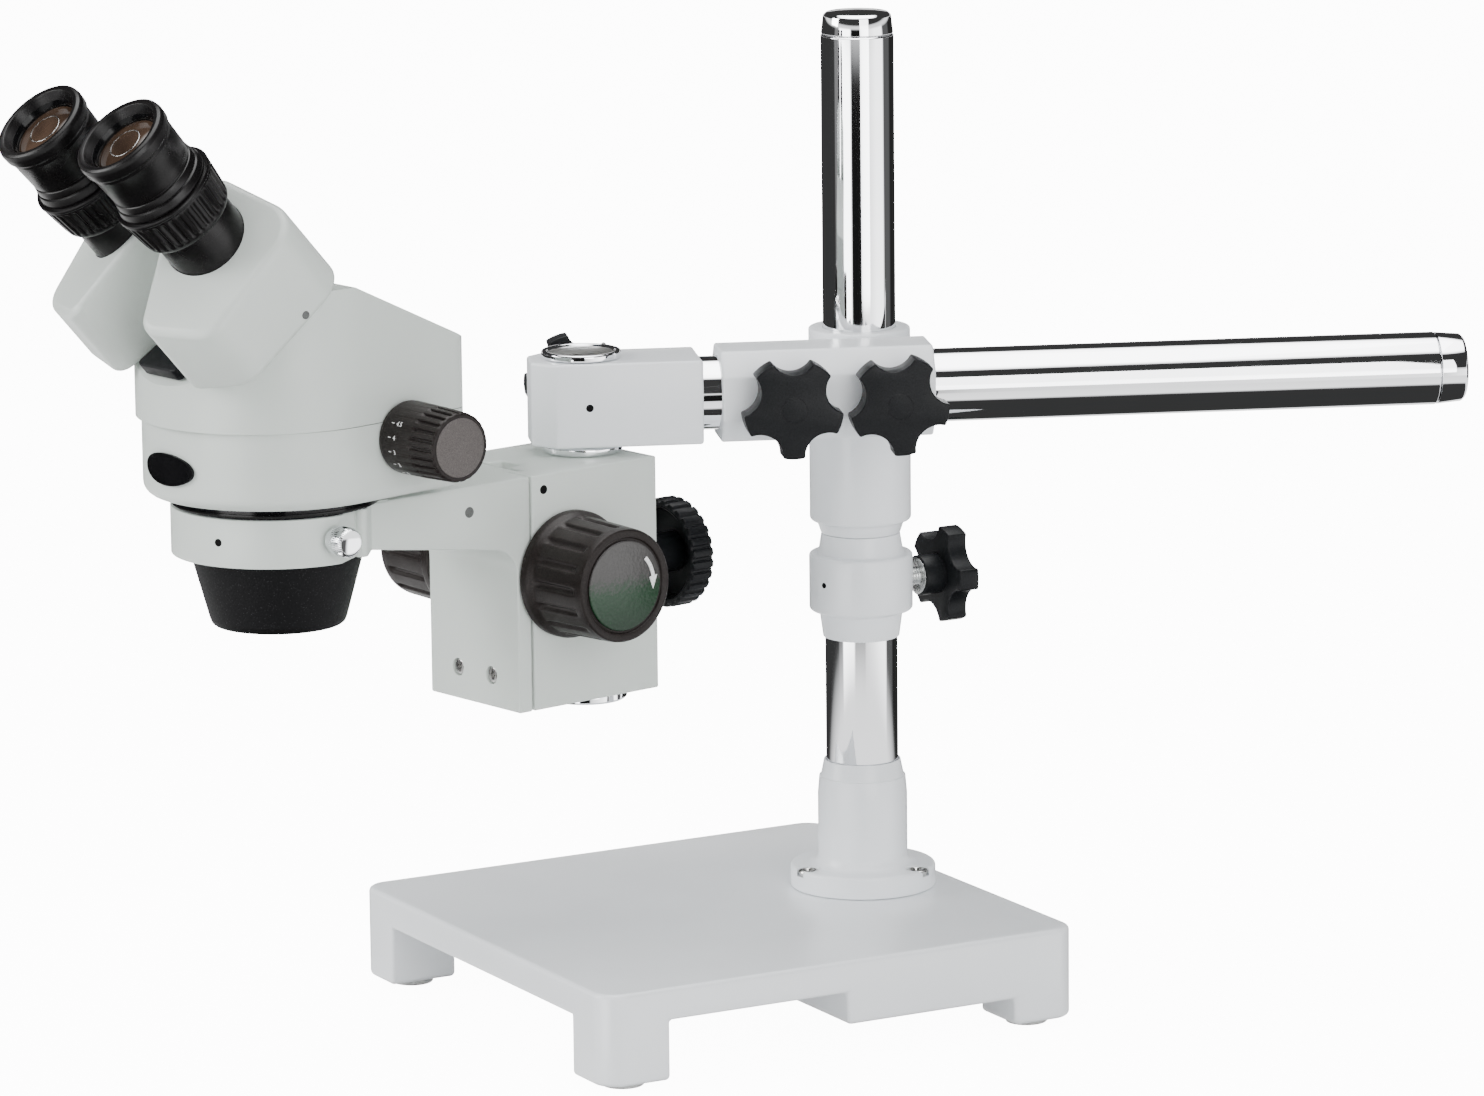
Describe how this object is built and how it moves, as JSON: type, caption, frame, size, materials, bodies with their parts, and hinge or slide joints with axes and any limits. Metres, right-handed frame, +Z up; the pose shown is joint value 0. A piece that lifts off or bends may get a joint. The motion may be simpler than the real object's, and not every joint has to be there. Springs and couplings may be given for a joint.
{
  "type": "stereo microscope",
  "caption": "Binocular stereo microscope head with zoom knobs in a rack-and-pinion focus mount, hung from a swivelling boom arm on a pole and heavy base plate.",
  "frame": {"origin": "middle of the whole object's plan box at the level its feet stand on", "axes": "+Z up; -Y towards the user at the front of the base plate; +X to the user's right"},
  "size_m": [0.2581, 0.6451, 0.436],
  "materials": {
    "cool_white_enamel": "satin",
    "grey_green_enamel": "satin paint on cast aluminium",
    "chrome_plate": "mirror",
    "zinc_plate": "satin",
    "bright_steel": "satin",
    "foot_rubber": "matte",
    "black_satin_plastic": "satin",
    "brown_black_plastic": "satin",
    "disc_gloss": "gloss",
    "black_gloss_plastic": "gloss",
    "matt_black_paint": "matt black paint",
    "eyepiece_black": "satin black anodising",
    "coated_glass": "coated lens"
  },
  "bodies": {
    "stand": {"base_plate": "cool_white_enamel", "foot_front_left": "foot_rubber", "foot_front_right": "foot_rubber", "foot_rear_left": "foot_rubber", "foot_rear_right": "foot_rubber", "pole_socket": "cool_white_enamel", "socket_screw_1": "bright_steel", "socket_screw_2": "bright_steel", "socket_screw_3": "bright_steel", "pole": "chrome_plate", "pole_cap": "chrome_plate"},
    "collar": {"safety_collar": "cool_white_enamel"},
    "collar_hand_screw": {"collar_knob": "black_satin_plastic", "collar_screw_rod": "zinc_plate"},
    "clamp": {"cross_clamp": "cool_white_enamel"},
    "arm_front_hand_screw": {"arm_front_knob": "black_satin_plastic", "arm_front_screw_rod": "zinc_plate"},
    "arm_rear_hand_screw": {"arm_rear_knob": "black_satin_plastic", "arm_rear_screw_rod": "zinc_plate"},
    "arm": {"arm_tube": "chrome_plate", "arm_end_cap": "chrome_plate"},
    "block": {"swivel_block": "cool_white_enamel"},
    "swivel_lock": {"swivel_lock_knob": "black_satin_plastic"},
    "focus_block": {"swivel_pin": "chrome_plate", "pin_cap": "chrome_plate", "focus_housing": "grey_green_enamel", "block_nut": "chrome_plate"},
    "rear_lock": {"rear_lock_knob": "black_satin_plastic"},
    "pinion": {"pinion_shaft": "bright_steel", "focus_knob_left": "brown_black_plastic", "focus_knob_disc_left": "disc_gloss", "focus_knob_right": "brown_black_plastic", "focus_knob_disc_right": "disc_gloss"},
    "carriage": {"focus_carriage": "grey_green_enamel", "focus_rack": "bright_steel", "carriage_screw_1": "bright_steel", "carriage_screw_2": "bright_steel"},
    "ring_screw": {"ring_thumb_screw": "chrome_plate"},
    "head": {"neck_ring": "black_gloss_plastic", "objective_cone": "matt_black_paint", "objective_lens": "coated_glass", "lower_housing": "grey_green_enamel", "upper_housing": "grey_green_enamel", "prism_cover_plate": "black_satin_plastic", "front_badge": "black_gloss_plastic"},
    "zoom": {"zoom_shaft": "bright_steel", "zoom_knob_left": "brown_black_plastic", "zoom_knob_right": "brown_black_plastic"},
    "prism_right": {"prism_housing_right": "grey_green_enamel", "eye_tube_right": "eyepiece_black", "eyecup_right": "eyepiece_black", "eye_lens_right": "coated_glass"},
    "prism_left": {"prism_housing_left": "grey_green_enamel", "eye_tube_left": "eyepiece_black", "eyecup_left": "eyepiece_black", "eye_lens_left": "coated_glass"},
    "diopter_right": {"diopter_ring_right": "eyepiece_black"},
    "diopter_left": {"diopter_ring_left": "eyepiece_black"}
  },
  "joints": [
    {"name": "collar_height", "type": "slide", "parent": "stand", "child": "collar", "axis": [0, 0, 1], "range_m": [-0.055, 0.12]},
    {"name": "collar_screw_turn", "type": "hinge", "parent": "collar", "child": "collar_hand_screw", "pos_m": [-0.013, 0.1244, 0.181], "axis": [0, 1, 0], "range_deg": [0, 720]},
    {"name": "clamp_swivel", "type": "hinge", "parent": "collar", "child": "clamp", "pos_m": [-0.013, 0.0864, 0.244], "axis": [0, 0, 1], "continuous": true},
    {"name": "arm_front_screw_turn", "type": "hinge", "parent": "clamp", "child": "arm_front_hand_screw", "pos_m": [0.02848, 0.02762, 0.2735], "axis": [0.9317, -0.3633, 0], "range_deg": [0, 720]},
    {"name": "arm_rear_screw_turn", "type": "hinge", "parent": "clamp", "child": "arm_rear_hand_screw", "pos_m": [0.04523, 0.07057, 0.2735], "axis": [0.9317, -0.3633, 0], "range_deg": [0, 720]},
    {"name": "arm_slide", "type": "slide", "parent": "clamp", "child": "arm", "axis": [0.3633, 0.9317, 0], "range_m": [-0.2, 0.007]},
    {"name": "arm_roll", "type": "hinge", "parent": "arm", "child": "block", "pos_m": [-0.01942, -0.02916, 0.2752], "axis": [0.3633, 0.9317, 0], "range_deg": [-30, 30]},
    {"name": "swivel_lock_turn", "type": "hinge", "parent": "block", "child": "swivel_lock", "pos_m": [-0.05358, -0.0342, 0.2765], "axis": [-0.9317, 0.3633, 0], "range_deg": [0, 360]},
    {"name": "focus_swivel", "type": "hinge", "parent": "block", "child": "focus_block", "pos_m": [-0.02563, -0.0451, 0.254], "axis": [0, 0, 1], "range_deg": [-90, 60]},
    {"name": "rear_lock_turn", "type": "hinge", "parent": "focus_block", "child": "rear_lock", "pos_m": [-0.0352, 0.00194, 0.2002], "axis": [-0.1994, 0.9799, 0], "range_deg": [0, 360]},
    {"name": "focus_travel", "type": "slide", "parent": "focus_block", "child": "carriage", "axis": [0, 0, 1], "range_m": [-0.025, 0.025]},
    {"name": "pinion_turn", "type": "hinge", "parent": "focus_block", "child": "pinion", "pos_m": [-0.01885, -0.07841, 0.207], "axis": [0.9799, 0.1994, 0], "range_deg": [-205, 205]},
    {"name": "ring_screw_turn", "type": "hinge", "parent": "carriage", "child": "ring_screw", "pos_m": [0.05726, -0.20171, 0.2425], "axis": [0.9799, 0.1994, 0], "range_deg": [0, 720]},
    {"name": "head_turn", "type": "hinge", "parent": "carriage", "child": "head", "pos_m": [0.00747, -0.20776, 0.254], "axis": [0, 0, 1], "continuous": true},
    {"name": "zoom_turn", "type": "hinge", "parent": "head", "child": "zoom", "pos_m": [0.00188, -0.18033, 0.2832], "axis": [0.9799, 0.1994, 0], "range_deg": [-150, 150]},
    {"name": "eye_spread_right", "type": "hinge", "parent": "head", "child": "prism_right", "pos_m": [0.06428, -0.24624, 0.34931], "axis": [0.1334, -0.6557, 0.7431], "range_deg": [-4, 4]},
    {"name": "eye_spread_left", "type": "hinge", "parent": "head", "child": "prism_left", "pos_m": [-0.02979, -0.26538, 0.34931], "axis": [0.1334, -0.6557, 0.7431], "range_deg": [-4, 4]},
    {"name": "diopter_turn_right", "type": "hinge", "parent": "prism_right", "child": "diopter_right", "pos_m": [0.04824, -0.26772, 0.38706], "axis": [0.1334, -0.6557, 0.7431], "range_deg": [-170, 170]},
    {"name": "diopter_turn_left", "type": "hinge", "parent": "prism_left", "child": "diopter_left", "pos_m": [-0.00664, -0.27888, 0.38706], "axis": [0.1334, -0.6557, 0.7431], "range_deg": [-170, 170]}
  ],
  "couplings": [
    {"joint": "pinion_turn", "follows": "focus_travel", "rad_per_m": -142.86},
    {"joint": "eye_spread_left", "follows": "eye_spread_right", "ratio": -1}
  ]
}
